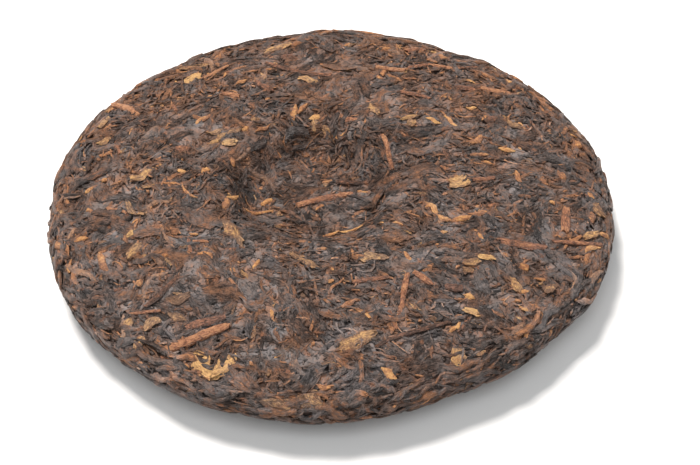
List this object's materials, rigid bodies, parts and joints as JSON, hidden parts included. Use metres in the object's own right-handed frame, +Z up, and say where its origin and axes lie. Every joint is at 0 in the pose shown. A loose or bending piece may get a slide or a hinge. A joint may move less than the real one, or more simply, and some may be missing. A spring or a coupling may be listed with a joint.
{
  "type": "pu erh tea cake",
  "caption": "Round flat cake of compressed tea leaf with a rounded rim, a gently domed underside and a cloth-knot dent in its upper face.",
  "frame": {"origin": "middle of the flat spot under the cake that it rests on", "axes": "+Z up out of the face with the dent, -Y towards the front of the cake as pictured"},
  "size_m": [0.2009, 0.1996, 0.0269],
  "materials": {
    "pressed_leaf": "dry pressed tea leaf, dark grey-brown with brown, orange and tan stems and buds, dull with a faint grey sheen"
  },
  "bodies": {
    "root": {"tea_cake": "pressed_leaf"}
  },
  "joints": []
}
